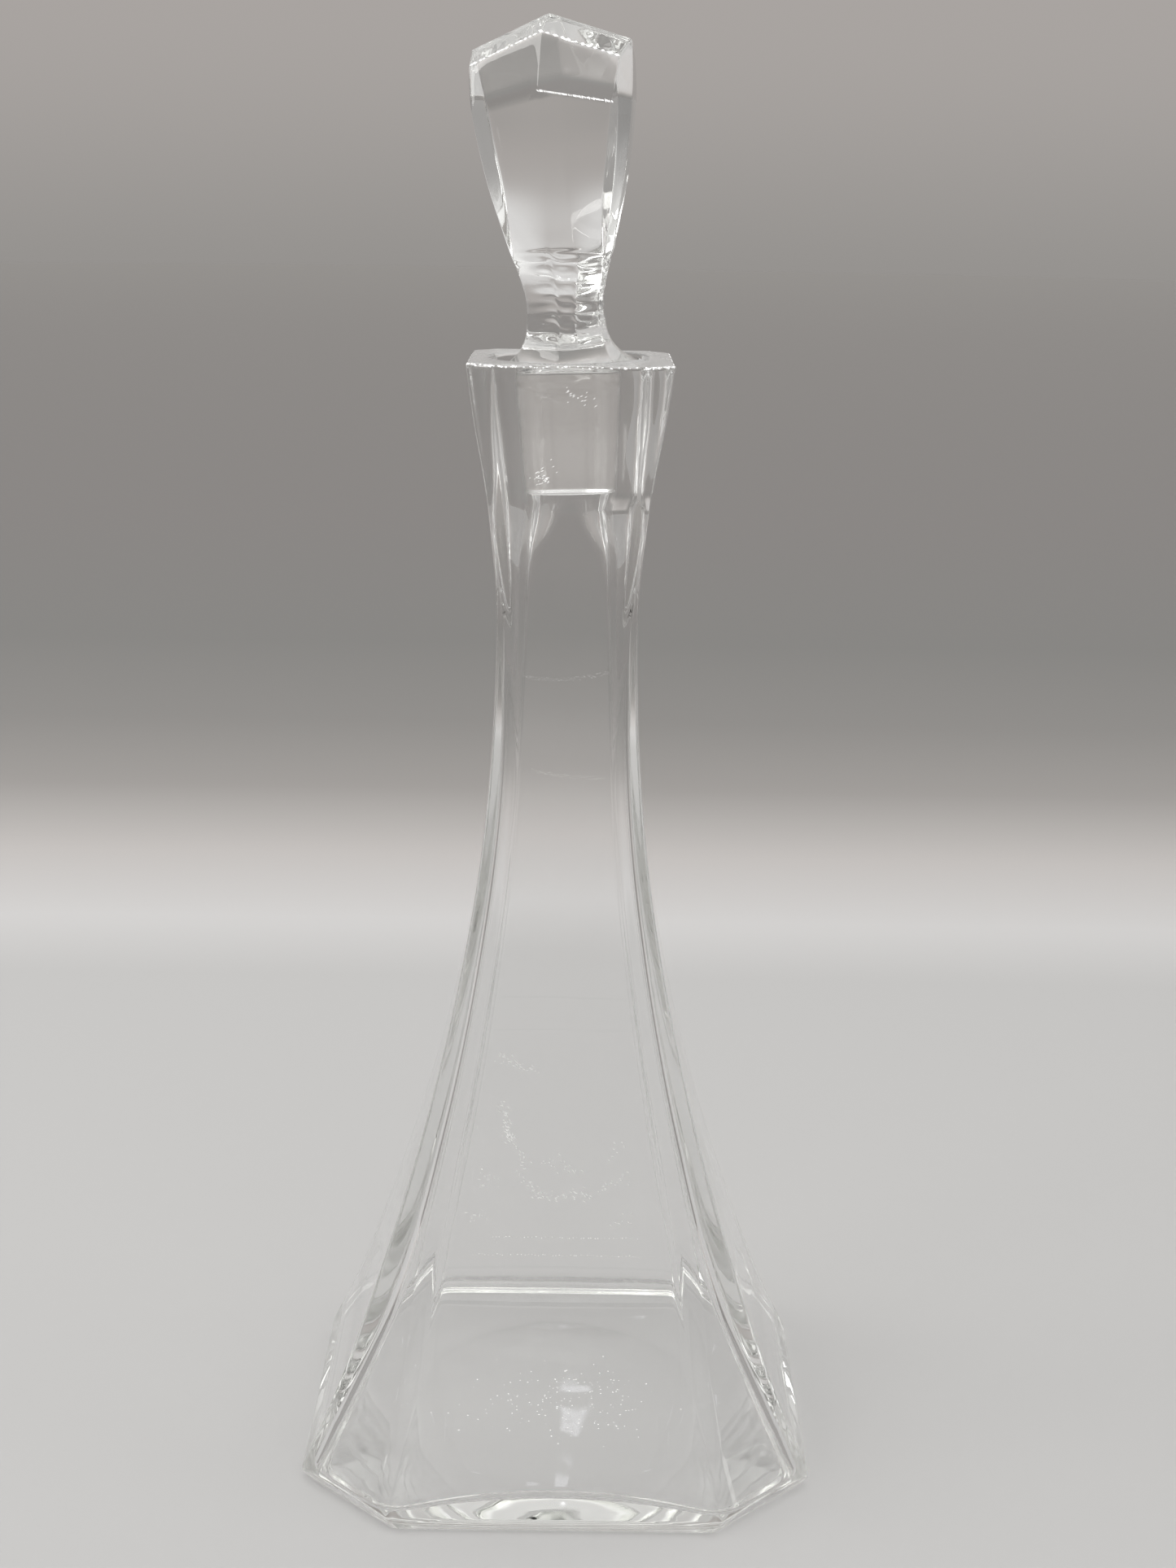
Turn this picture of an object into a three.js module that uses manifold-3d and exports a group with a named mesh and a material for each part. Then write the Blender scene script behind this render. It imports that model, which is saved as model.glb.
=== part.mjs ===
// Glass decanter: a tall bottle on an eight-sided foot, with a solid glass stopper in its mouth.
// Millimetres, +Z up. The origin is the middle of the foot, on the surface that the bottle stands on.
import * as THREE from 'three';
import { mergeVertices } from 'three/addons/utils/BufferGeometryUtils.js';
import Module from 'manifold-3d';

const wasm = await Module();
wasm.setup();

// Bottle, outside. Widths are across the flats of a square section with its four corners cut off.
const footWidth = 110;
const footBandHeight = 3;
const footUndercut = 0.7;
const waistWidth = 29.3;
const waistHeight = 181;
const rimWidth = 42.2;
const rimHeight = 239;
const rimRounding = 0.9;

// Bottle, inside
const waistWall = 2.9;
const floorThickness = 4.6;
const floorCornerDip = 2.6;
const floorFillet = 2;
const dishWidth = 78;
const dishDepth = 0.9;

// Ground seat in the mouth, and the stopper's plug in it
const plugTopWidth = 32.2;
const plugBottomWidth = 28;
const plugLength = 25;
const plugEdge = 0.5;
const plugShoulderDepth = 1.4;
const seatClearance = 0.3;
const seatRunout = 1.5;
const seatPivotDepth = 17;
const seatLeanDegrees = 2;

// Stopper, above the plug. Its section is a flat hexagon with a ridge down the front and the back.
const headHeight = 67.8;
const headWidth = 30.4;
const headThickness = 20.2;
const sideFaceWidth = 19;
const neckWidth = 15.4;
const neckThickness = 10.2;
const neckSideFaceWidth = 4;
const neckHeight = 9;
const flareWidth = 26.8;
const flareThickness = 17.6;
const flareSideFaceWidth = 15.4;
const roofBreakDepth = 5;
const headLeanDegrees = 2;
const headTurnDegrees = 17;

// One overrun serves every cut that has to pass a face.
const overrun = 2;

// Shares of the outline, chosen by hand. Foot to waist: share of the height, share of the spread
const flareShares = [
  [0, 1], [0.057, 0.883], [0.138, 0.741], [0.23, 0.603], [0.354, 0.432],
  [0.478, 0.289], [0.601, 0.174], [0.725, 0.084], [0.848, 0.03], [1, 0],
];
// Waist to rim: share of the height, share of the spread
const mouthShares = [[0, 0], [0.12, 0.012], [0.328, 0.13], [0.578, 0.4], [0.786, 0.73], [1, 1]];
// Leg of the cut corner: share of the rim's height, share of the half width there
const cornerShares = [
  [0, 0.373], [0.13, 0.328], [0.27, 0.275], [0.41, 0.28], [0.55, 0.304],
  [0.66, 0.31], [0.76, 0.19], [0.85, 0.075], [0.92, 0.15], [1, 0.225],
];
// Slopes of the stopper's four roof planes, sideways, forwards and forwards below their break,
// and how far its side faces bulge in their middle
const roofSideShare = 0.36;
const roofFrontShare = 0.7;
const roofSteepShare = 2.1;
const sideCrownShare = 0.19;
// Wall at mid face: share of the rim's height, share of the waist's wall
const wallShares = [
  [0, 0.86], [0.05, 1.1], [0.15, 2], [0.3, 1.8], [0.5, 1.35], [0.757, 1], [1, 1],
];
// Wall behind the cut corners, as a share of the wall at mid face
const cornerWallShare = 0.7;
// Rounding of the cavity's corners: share of the rim's height, share of the cavity's half width,
// which is 1 for the round channel in the neck
const roundnessShares = [[0, 0.2], [0.1, 0.22], [0.3, 0.4], [0.55, 0.75], [0.7, 1], [1, 1]];
// Stopper from the plug's shoulder to the neck: share of the height, share of the spread
const flareCurveShares = [[0, 1], [0.12, 0.62], [0.3, 0.31], [0.55, 0.1], [1, 0]];
// Stopper from the neck to its peak: share of the height, shares of the spread in half width,
// in half of the side face and in half thickness
const headShares = [
  [0, 0, 0, 0], [0.06, 0.02, 0, 0.03], [0.14, 0.17, 0.03, 0.28], [0.22, 0.3, 0.32, 0.5],
  [0.29, 0.38, 0.57, 0.62], [0.42, 0.56, 0.9, 0.84], [0.54, 0.73, 1, 0.96],
  [0.7, 0.92, 1, 1], [0.83, 1, 0.95, 1], [1, 1, 0.9, 0.97],
];

// How finely curves are cut into flats
const bottleSteps = 44;
const cavityCornerSides = 6;
const cavitySteps = 34;
const dishSides = 48;
const filletSteps = 5;
const floorRingShares = [0.3, 0.6, 0.8, 0.92];
const plugSides = 48;
const headSteps = 30;

// Returns a function of x that runs smoothly through the first and the chosen column of a table.
function smoothThrough(rows, column = 1) {
  const places = rows.map((row) => row[0]);
  const values = rows.map((row) => row[column]);
  const curve = new THREE.CubicInterpolant(places, values, 1, new Float64Array(1));
  return (x) => curve.evaluate(THREE.MathUtils.clamp(x, places[0], places.at(-1)))[0];
}

const cornerShare = smoothThrough(cornerShares);
const wallShare = smoothThrough(wallShares);
const roundness = smoothThrough(roundnessShares);

// Stations of a stretch of the outline, from shares of its height and of its spread.
function stations(shares, lowHeight, highHeight, wideWidth) {
  return shares.map(([up, out]) => [
    THREE.MathUtils.lerp(lowHeight, highHeight, up),
    THREE.MathUtils.lerp(waistWidth, wideWidth, out) / 2,
  ]);
}

// Half width of the bottle's outside at a height above the foot's band.
const outerHalf = smoothThrough([
  ...stations(flareShares, footBandHeight, waistHeight, footWidth),
  ...stations(mouthShares.slice(1), waistHeight, rimHeight, rimWidth),
]);

// Joins rings of points, each with the same number of points and counter-clockwise seen from
// above, into one closed body with a point in the middle of each end.
function bodyFromRings(rings, lowMiddle, highMiddle) {
  const count = rings[0].length;
  const points = rings.flat().concat([lowMiddle, highMiddle]);
  const low = points.length - 2;
  const high = points.length - 1;
  const top = (rings.length - 1) * count;
  const faces = [];
  for (let k = 0; k < count; k += 1) {
    const next = (k + 1) % count;
    faces.push(low, next, k);
    faces.push(high, top + k, top + next);
    for (let ring = 0; ring < rings.length - 1; ring += 1) {
      const a = ring * count;
      const b = a + count;
      faces.push(a + k, a + next, b + next);
      faces.push(a + k, b + next, b + k);
    }
  }
  const geometry = new THREE.BufferGeometry().setFromPoints(points);
  geometry.setIndex(faces);
  return geometry;
}

// Turns a closed three.js geometry into a solid that can be cut and joined.
function solid(geometry) {
  const bare = geometry.clone();
  bare.deleteAttribute('normal');
  bare.deleteAttribute('uv');
  const merged = mergeVertices(bare);
  return new wasm.Manifold(new wasm.Mesh({
    numProp: 3,
    vertProperties: new Float32Array(merged.attributes.position.array),
    triVerts: new Uint32Array(merged.index.array),
  }));
}

// Turns a solid into a named mesh.
function part(name, body, material) {
  const { vertProperties, triVerts } = body.getMesh();
  const geometry = new THREE.BufferGeometry();
  geometry.setAttribute('position', new THREE.BufferAttribute(vertProperties, 3));
  geometry.setIndex(new THREE.BufferAttribute(triVerts, 1));
  geometry.computeVertexNormals();
  const mesh = new THREE.Mesh(geometry, material);
  mesh.name = name;
  return mesh;
}

// Square ring with cut corners: eight points, counter-clockwise.
function facetRing(half, leg, z) {
  const flat = half - leg;
  const corners = [
    [half, -flat], [half, flat], [flat, half], [-flat, half],
    [-half, flat], [-half, -flat], [-flat, -half], [flat, -half],
  ];
  return corners.map(([x, y]) => new THREE.Vector3(x, y, z));
}

// Bottle's outside: the foot's band, then the faceted flare to the waist and out to the rim.
function bottleOutside() {
  const footHalf = footWidth / 2;
  const footLeg = footHalf * cornerShare(0);
  const rings = [
    facetRing(footHalf - footUndercut, footLeg, 0),
    facetRing(footHalf, footLeg, footBandHeight / 2),
  ];
  const lastHeight = rimHeight - rimRounding;
  for (let step = 0; step <= bottleSteps; step += 1) {
    const z = THREE.MathUtils.lerp(footBandHeight, lastHeight, step / bottleSteps);
    const half = outerHalf(z);
    rings.push(facetRing(half, half * cornerShare(z / rimHeight), z));
  }
  const rimHalf = rimWidth / 2 - rimRounding;
  rings.push(facetRing(rimHalf, rimHalf * cornerShare(1), rimHeight));
  return bodyFromRings(rings, new THREE.Vector3(0, 0, 0), new THREE.Vector3(0, 0, rimHeight));
}

// Thickness of the wall at mid face: thin at the foot, thick in the lower body, thin at the waist.
function wallAt(z) {
  return waistWall * wallShare(z / rimHeight);
}

// Height of the cavity's floor, level in the middle and lower towards the foot's corners.
function floorAt(x, y) {
  const inside = footWidth / 2 - wallAt(0);
  const faceHalf = (footWidth / 2) * (1 - cornerShare(0));
  const corner = (x * y) / (inside * faceHalf);
  return floorThickness - floorCornerDip * Math.min(corner * corner, 1);
}

// Level ring on the cavity's wall. It follows the facets with rounded corners, and is a circle in
// the neck. The inset draws it in from the wall.
function cavityRing(z, inset) {
  const up = z / rimHeight;
  const half = outerHalf(z);
  const inside = half - wallAt(z);
  const radius = inside * Math.min(roundness(up), 1);
  const face = inside - radius;
  const cutCorner = half * (2 - cornerShare(up)) / Math.SQRT2;
  const across = cutCorner - wallAt(z) * cornerWallShare - radius;
  const flat = THREE.MathUtils.clamp(across * Math.SQRT2 - face, 0, face);
  const corners = [
    [face, flat], [flat, face], [-flat, face], [-face, flat],
    [-face, -flat], [-flat, -face], [flat, -face], [face, -flat],
  ];
  return corners.flatMap(([x, y], corner) => (
    Array.from({ length: cavityCornerSides }, (_, side) => {
      const angle = (Math.PI / 4) * (corner + (side + 0.5) / cavityCornerSides);
      const reach = radius - inset;
      return new THREE.Vector3(x + reach * Math.cos(angle), y + reach * Math.sin(angle), z);
    })
  ));
}

// Sets a ring on the floor, at a scale about the middle and with a lift above the floor.
function onFloor(ring, scale, lift) {
  return ring.map(({ x, y }) => (
    new THREE.Vector3(x * scale, y * scale, floorAt(x * scale, y * scale) + lift)
  ));
}

// Cavity that holds the liquid: floor, fillet, body and neck channel up into the ground seat.
function bottleCavity() {
  const footLevel = floorThickness + floorFillet;
  const floorEdge = cavityRing(footLevel, floorFillet);
  const rings = floorRingShares.map((share) => onFloor(floorEdge, share, 0));
  for (let step = 0; step <= filletSteps; step += 1) {
    const turn = (Math.PI / 2) * (step / filletSteps);
    const edge = cavityRing(footLevel, floorFillet * (1 - Math.sin(turn)));
    rings.push(onFloor(edge, 1, floorFillet * (1 - Math.cos(turn))));
  }
  const lowest = footLevel + floorFillet;
  const highest = rimHeight - seatDepth + overrun;
  for (let step = 0; step <= cavitySteps; step += 1) {
    rings.push(cavityRing(THREE.MathUtils.lerp(lowest, highest, step / cavitySteps), 0));
  }
  const middle = new THREE.Vector3(0, 0, floorThickness);
  return bodyFromRings(rings, middle, new THREE.Vector3(0, 0, highest));
}

// Seat and plug share one leaning axis, which crosses the bottle's own at the pivot.
const seatDepth = plugShoulderDepth + plugLength + seatRunout;
const plugTaper = (plugTopWidth - plugBottomWidth) / 2 / plugLength;
const seatLean = THREE.MathUtils.degToRad(seatLeanDegrees);

// Half width of the plug at a depth below the rim, carried on past both of its ends.
function plugHalf(depth) {
  return plugTopWidth / 2 - (depth - plugShoulderDepth) * plugTaper;
}

// Lathe profile, as [radius, depth below the rim] pairs, turned about the Z axis.
function turned(profile, sides) {
  const points = profile.map(([radius, depth]) => new THREE.Vector2(radius, -depth));
  return new THREE.LatheGeometry(points, sides).rotateX(Math.PI / 2);
}

// Places a shape that was drawn about the rim's middle on the seat's leaning axis.
function onSeat(geometry) {
  return geometry.translate(0, 0, seatPivotDepth).rotateY(-seatLean)
    .translate(0, 0, rimHeight - seatPivotDepth);
}

function seatCut() {
  const gap = seatClearance * Math.hypot(1, plugTaper);
  return onSeat(turned([
    [0, seatDepth],
    [plugHalf(seatDepth) + gap, seatDepth],
    [plugHalf(-overrun) + gap, -overrun],
    [0, -overrun],
  ], plugSides));
}

// Shallow round dish under the foot, so that the bottle stands on the edge of its base.
function dishCut() {
  const half = dishWidth / 2;
  const sphere = (half * half + dishDepth * dishDepth) / (2 * dishDepth);
  const edge = Math.asin(half / sphere);
  const points = [new THREE.Vector2(0, -overrun), new THREE.Vector2(half, -overrun)];
  for (let step = 0; step <= filletSteps; step += 1) {
    const turn = edge * (1 - step / filletSteps);
    points.push(new THREE.Vector2(sphere * Math.sin(turn), dishDepth - sphere * (1 - Math.cos(turn))));
  }
  return new THREE.LatheGeometry(points, dishSides).rotateX(Math.PI / 2);
}

// Ring of the stopper's section: a ridge at the front and back, and a slightly crowned side face.
function headRing(half, side, ridge, z) {
  const crown = half + side * sideCrownShare;
  const corners = [
    [half, -side], [crown, 0], [half, side], [0, ridge],
    [-half, side], [-crown, 0], [-half, -side], [0, -ridge],
  ];
  return corners.map(([x, y]) => new THREE.Vector3(x, y, z));
}

// Flare from the plug's shoulder in to the neck, and the head above it, up past the peak.
function headLoft() {
  const neck = [neckWidth / 2, neckSideFaceWidth / 2, neckThickness / 2];
  const flare = [flareWidth / 2, flareSideFaceWidth / 2, flareThickness / 2];
  const head = [headWidth / 2, sideFaceWidth / 2, headThickness / 2];
  const flareSpreadAt = smoothThrough(flareCurveShares);
  const headSpreadAt = [1, 2, 3].map((column) => smoothThrough(headShares, column));
  const base = -plugShoulderDepth;
  const rings = [headRing(...flare, base - overrun)];
  const flareSteps = Math.round(headSteps / 3);
  for (let step = 0; step < flareSteps; step += 1) {
    const share = step / flareSteps;
    const size = neck.map((value, k) => value + (flare[k] - value) * flareSpreadAt(share));
    rings.push(headRing(...size, THREE.MathUtils.lerp(base, neckHeight, share)));
  }
  for (let step = 0; step <= headSteps; step += 1) {
    const share = step / headSteps;
    const size = neck.map((value, k) => value + (head[k] - value) * headSpreadAt[k](share));
    rings.push(headRing(...size, THREE.MathUtils.lerp(neckHeight, headHeight, share)));
  }
  const low = new THREE.Vector3(0, 0, base - overrun);
  return bodyFromRings(rings, low, new THREE.Vector3(0, 0, headHeight));
}

// Four roof planes that meet in a peak, as a tall four-sided pyramid to trim the head with.
function roof(peak, frontShare) {
  const drop = peak + plugLength;
  const along = drop / roofSideShare;
  const across = drop / frontShare;
  return bodyFromRings(
    [[[along, 0], [0, across], [-along, 0], [0, -across]].map(
      ([x, y]) => new THREE.Vector3(x, y, peak - drop),
    )],
    new THREE.Vector3(0, 0, peak - drop),
    new THREE.Vector3(0, 0, peak),
  );
}

// Solid plug with eased edges, drawn about the rim's middle.
function plug() {
  const bottom = plugShoulderDepth + plugLength;
  return turned([
    [0, bottom],
    [plugHalf(bottom) - plugEdge, bottom],
    [plugHalf(bottom - plugEdge), bottom - plugEdge],
    [plugHalf(plugShoulderDepth + plugEdge), plugShoulderDepth + plugEdge],
    [plugHalf(plugShoulderDepth) - plugEdge, plugShoulderDepth],
    [0, plugShoulderDepth],
  ], plugSides);
}

function bottleBody() {
  return solid(bottleOutside()).subtract(solid(bottleCavity()))
    .subtract(solid(seatCut())).subtract(solid(dishCut()));
}

function stopperBody() {
  const turn = -THREE.MathUtils.degToRad(headTurnDegrees);
  const lean = -THREE.MathUtils.degToRad(headLeanDegrees);
  const steepPeak = headHeight + roofBreakDepth * (roofSteepShare - roofFrontShare);
  const [head, flatRoof, steepRoof] = [
    headLoft(), roof(headHeight, roofFrontShare), roof(steepPeak, roofSteepShare),
  ].map((shape) => solid(onSeat(shape.rotateZ(turn).rotateY(lean))));
  return head.intersect(flatRoof).intersect(steepRoof).add(solid(onSeat(plug())));
}

const clearGlass = new THREE.MeshStandardMaterial({
  name: 'clear_glass', color: 0xdfe5df, roughness: 0.03, metalness: 0, transparent: true, opacity: 0.35,
});
const stopperGlass = clearGlass.clone();
stopperGlass.name = 'stopper_glass';

const decanter = new THREE.Group();
decanter.name = 'decanter';
decanter.add(part('bottle', bottleBody(), clearGlass));
decanter.add(part('stopper', stopperBody(), stopperGlass));

export default decanter;
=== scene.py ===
"""Looks of a clear glass decanter and its faceted stopper, on a pale floor in soft light.

Lengths are metres, +Z is up, and the origin is the middle of the bottle's foot.
"""

import logging
import math
import random
from bisect import bisect_right
from dataclasses import dataclass, field
from enum import Enum
from typing import Callable, Sequence

import bpy
import numpy as np
from mathutils import Matrix, Vector


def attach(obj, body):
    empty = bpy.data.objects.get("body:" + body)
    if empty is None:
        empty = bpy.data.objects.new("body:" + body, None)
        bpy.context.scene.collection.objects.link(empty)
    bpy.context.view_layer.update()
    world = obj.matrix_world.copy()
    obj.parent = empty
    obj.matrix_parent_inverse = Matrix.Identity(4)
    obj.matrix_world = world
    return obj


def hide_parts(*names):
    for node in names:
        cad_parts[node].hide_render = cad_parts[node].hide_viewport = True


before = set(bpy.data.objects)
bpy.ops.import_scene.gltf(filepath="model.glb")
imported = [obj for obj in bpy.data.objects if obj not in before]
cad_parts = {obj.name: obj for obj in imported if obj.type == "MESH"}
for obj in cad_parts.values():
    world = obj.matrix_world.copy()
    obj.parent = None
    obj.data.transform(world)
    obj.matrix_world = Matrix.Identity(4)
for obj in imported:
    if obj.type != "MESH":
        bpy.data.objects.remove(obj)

MM = 0.001
OUT_OF_REACH = 1.0
log = logging.getLogger("decanter")

Pair = tuple[float, float]
Colour = tuple[float, float, float]
Place = tuple[float, float, float]
Ring = np.ndarray


class Body(Enum):
    """The two rigid bodies that pieces ride on."""

    BOTTLE = "bottle"
    STOPPER = "stopper"


class Slot(Enum):
    """Material slots of the record."""

    BOTTLE_GLASS = "clear_glass"
    STOPPER_GLASS = "stopper_glass"


# Shader building


class Link:
    """An output socket that can be used in plain Python sums."""

    def __init__(self, tree: "Tree", socket: bpy.types.NodeSocket) -> None:
        """Keeps the tree that new Math nodes go into, and the socket."""
        self.tree = tree
        self.socket = socket

    def _maths(self, operation: str, first: object, second: object) -> "Link":
        """Adds one Math node.

        Args:
            operation: The Math node's operation.
            first: A Link or a number.
            second: A Link or a number.

        Returns:
            The node's result.
        """
        return self.tree.node(
            "ShaderNodeMath", {"operation": operation}, {0: first, 1: second}
        )

    def __add__(self, other: object) -> "Link":
        """self + other"""
        return self._maths("ADD", self, other)

    def __radd__(self, other: object) -> "Link":
        """other + self"""
        return self._maths("ADD", other, self)

    def __sub__(self, other: object) -> "Link":
        """self - other"""
        return self._maths("SUBTRACT", self, other)

    def __rsub__(self, other: object) -> "Link":
        """other - self"""
        return self._maths("SUBTRACT", other, self)

    def __mul__(self, other: object) -> "Link":
        """self * other"""
        return self._maths("MULTIPLY", self, other)

    def __rmul__(self, other: object) -> "Link":
        """other * self"""
        return self._maths("MULTIPLY", other, self)

    def __truediv__(self, other: object) -> "Link":
        """self / other"""
        return self._maths("DIVIDE", self, other)

    def __rtruediv__(self, other: object) -> "Link":
        """other / self"""
        return self._maths("DIVIDE", other, self)

    def __pow__(self, other: object) -> "Link":
        """self ** other"""
        return self._maths("POWER", self, other)

    def __rpow__(self, other: object) -> "Link":
        """other ** self"""
        return self._maths("POWER", other, self)

    def __abs__(self) -> "Link":
        """abs(self)"""
        return self._maths("ABSOLUTE", self, 0.0)

    def ramp(self, start: float, end: float) -> "Link":
        """Smooth step of this value.

        Args:
            start: Value where the step is still 0.
            end: Value where the step has reached 1. It may be below start.

        Returns:
            A value from 0 to 1.
        """
        low, high = min(start, end), max(start, end)
        turned = (0.0, 1.0) if start <= end else (1.0, 0.0)
        return self.tree.node(
            "ShaderNodeMapRange",
            {"interpolation_type": "SMOOTHSTEP"},
            {"Value": self, "From Min": low, "From Max": high, "To Min": turned[0], "To Max": turned[1]},
        )


class Tree:
    """A node tree that is filled by name and value."""

    def __init__(self, owner: bpy.types.Material | bpy.types.World) -> None:
        """Turns nodes on for a material or a world, and clears them."""
        owner.use_nodes = True
        self.tree = owner.node_tree
        self.tree.nodes.clear()

    def node(
        self,
        kind: str,
        settings: dict[str, object] | None = None,
        inputs: dict[object, object] | None = None,
        output: int | str = 0,
    ) -> Link:
        """Adds a node of any type.

        Args:
            kind: The node's type.
            settings: Attributes, set first. A ramp's "stops" are (place, colour) pairs.
            inputs: Socket name or number to a Link, a number or a tuple.
            output: Name or number of the output wanted.

        Returns:
            The wanted output, or a Link without a socket where the node has none.
        """
        made = self.tree.nodes.new(kind)
        for name, value in (settings or {}).items():
            if name == "stops":
                self._fill_ramp(made.color_ramp, value)
            else:
                setattr(made, name, value)
        for name, value in (inputs or {}).items():
            socket = made.inputs[name]
            if isinstance(value, Link):
                self.tree.links.new(value.socket, socket)
            elif isinstance(value, tuple) and len(value) == 3 and socket.type == "RGBA":
                socket.default_value = (*value, 1.0)
            else:
                socket.default_value = value
        return Link(self, made.outputs[output] if len(made.outputs) else None)

    @staticmethod
    def _fill_ramp(ramp: bpy.types.ColorRamp, stops: Sequence[tuple[float, Colour]]) -> None:
        """Sets a ramp's stops.

        Args:
            ramp: The ramp.
            stops: Places from 0 to 1 with their colours.
        """
        while len(ramp.elements) < len(stops):
            ramp.elements.new(0.5)
        for element, (place, colour) in zip(ramp.elements, stops):
            element.position = place
            element.color = (*colour, 1.0)

    def mix(self, factor: object, first: object, second: object) -> Link:
        """Mixes two colours.

        Args:
            factor: 0 gives the first and 1 the second.
            first: A colour or a Link.
            second: A colour or a Link.

        Returns:
            The mixed colour.
        """
        return self.node(
            "ShaderNodeMix", {"data_type": "RGBA"}, {0: factor, 6: first, 7: second}, output=2
        )

    def noise(self, place: Link, size: float, detail: float = 2.0, roughness: float = 0.5) -> Link:
        """Noise with features of a real size.

        Args:
            place: Vector to look it up at, in metres.
            size: Size of its largest features, in metres.
            detail: Number of finer layers.
            roughness: Strength of the finer layers.

        Returns:
            A value of about 0.2 to 0.8.
        """
        return self.node(
            "ShaderNodeTexNoise",
            {},
            {"Vector": place, "Scale": 1 / size, "Detail": detail, "Roughness": roughness},
        )

    def split(self, vector: Link) -> tuple[Link, Link, Link]:
        """The three numbers of a vector."""
        first = self.node("ShaderNodeSeparateXYZ", {}, {0: vector})
        node = first.socket.node
        return first, Link(self, node.outputs[1]), Link(self, node.outputs[2])

    def squashed(self, vector: Link, share: float) -> Link:
        """A vector with only a share of its height, which draws a pattern out upwards."""
        factors = (1.0, 1.0, share)
        return self.node("ShaderNodeVectorMath", {"operation": "MULTIPLY"}, {0: vector, 1: factors})


# Finishes


@dataclass(frozen=True)
class ClearGlass:
    """Old clear glass: a faint tint in its thickness, slight waves and a few smears."""

    name: str
    tint: Colour = (1.0, 1.0, 1.0)
    shade: Colour = (0.84, 0.84, 0.84)
    depth_colour: Colour = (0.55, 0.57, 0.5)
    depth_density: float = 2.2
    bend: float = 1.5
    wave_size: float = 14 * MM
    wave_depth: float = 0.05 * MM
    smear_size: float = 9 * MM
    clear_roughness: float = 0.0
    smear_roughness: float = 0.06
    smear_range: Pair = (0.52, 0.7)
    ground_above: float = OUT_OF_REACH
    ground_fade: float = 0.4 * MM
    ground_roughness: float = 0.25
    drawn_above: float = OUT_OF_REACH
    drawn_fade: float = 15 * MM
    drawn_size: float = 2.0 * MM
    drawn_share: float = 0.5
    wave_squash: float = 0.45
    drawn_squash: float = 0.04

    def material(self) -> bpy.types.Material:
        """Builds the material.

        Returns:
            A material that bends light, with a coloured depth.
        """
        made = bpy.data.materials.new(self.name)
        tree = Tree(made)
        place = tree.node("ShaderNodeTexCoord", output="Object")
        height = tree.split(place)[2]
        smears = tree.noise(place, self.smear_size, detail=4.0, roughness=0.62).ramp(*self.smear_range)
        ground = height.ramp(self.ground_above, self.ground_above + self.ground_fade)
        roughness = (
            self.clear_roughness
            + smears * (self.smear_roughness - self.clear_roughness)
            + ground * self.ground_roughness
        )
        waves = tree.noise(tree.squashed(place, self.wave_squash), self.wave_size, detail=1.0)
        drawn = tree.noise(tree.squashed(place, self.drawn_squash), self.drawn_size, detail=1.0)
        lines = drawn * height.ramp(self.drawn_above, self.drawn_above + self.drawn_fade)
        relief = tree.node(
            "ShaderNodeBump",
            {},
            {"Strength": 1.0, "Distance": self.wave_depth, "Height": waves + lines * self.drawn_share},
        )
        glass = tree.node(
            "ShaderNodeBsdfPrincipled",
            {},
            {
                "Base Color": self.tint,
                "Roughness": roughness,
                "IOR": self.bend,
                "Transmission Weight": 1.0,
                "Normal": relief,
            },
        )
        depth = tree.node(
            "ShaderNodeVolumeAbsorption",
            {},
            {"Color": self.depth_colour, "Density": self.depth_density},
        )
        lamp_ray = tree.node("ShaderNodeLightPath", output="Is Shadow Ray")
        open_air = tree.node("ShaderNodeBsdfTransparent", {}, {"Color": self.shade})
        surface = tree.node("ShaderNodeMixShader", {}, {0: lamp_ray, 1: glass, 2: open_air})
        tree.node("ShaderNodeOutputMaterial", {}, {"Surface": surface, "Volume": depth})
        return made


@dataclass(frozen=True)
class DriedFilmAndGlint:
    """Whitish matter that a liquid left where it dried, also used white for painted glints. It glows a
    little as painted brightness, though it is no lamp.
    """

    name: str = "dried_film_painted_glow"
    pale: Colour = (0.95, 0.95, 0.94)
    dull: Colour = (0.78, 0.78, 0.76)
    # Emission strength: painted brightness, so that the film and the glints shine though they are no
    # lamp.
    painted_glow: float = 0.3
    patch_size: float = 3 * MM
    patch_range: Pair = (0.35, 0.65)
    roughness: float = 0.6
    roughness_spread: float = 0.2

    def material(self) -> bpy.types.Material:
        """Builds the material.

        Returns:
            A matt material that varies from pale to dull, and glows in its pale colour as painted
            brightness.
        """
        made = bpy.data.materials.new(self.name)
        tree = Tree(made)
        place = tree.node("ShaderNodeTexCoord", output="Object")
        patches = tree.noise(place, self.patch_size, detail=3.0).ramp(*self.patch_range)
        tree.node(
            "ShaderNodeOutputMaterial",
            {},
            {
                "Surface": tree.node(
                    "ShaderNodeBsdfPrincipled",
                    {},
                    {
                        "Base Color": tree.mix(patches, self.dull, self.pale),
                        "Roughness": self.roughness + patches * self.roughness_spread,
                        # Painted brightness: the pale colour is emitted, though the film is no lamp.
                        "Emission Color": self.pale,
                        "Emission Strength": self.painted_glow,
                    },
                )
            },
        )
        return made


# Meshes from rings


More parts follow.
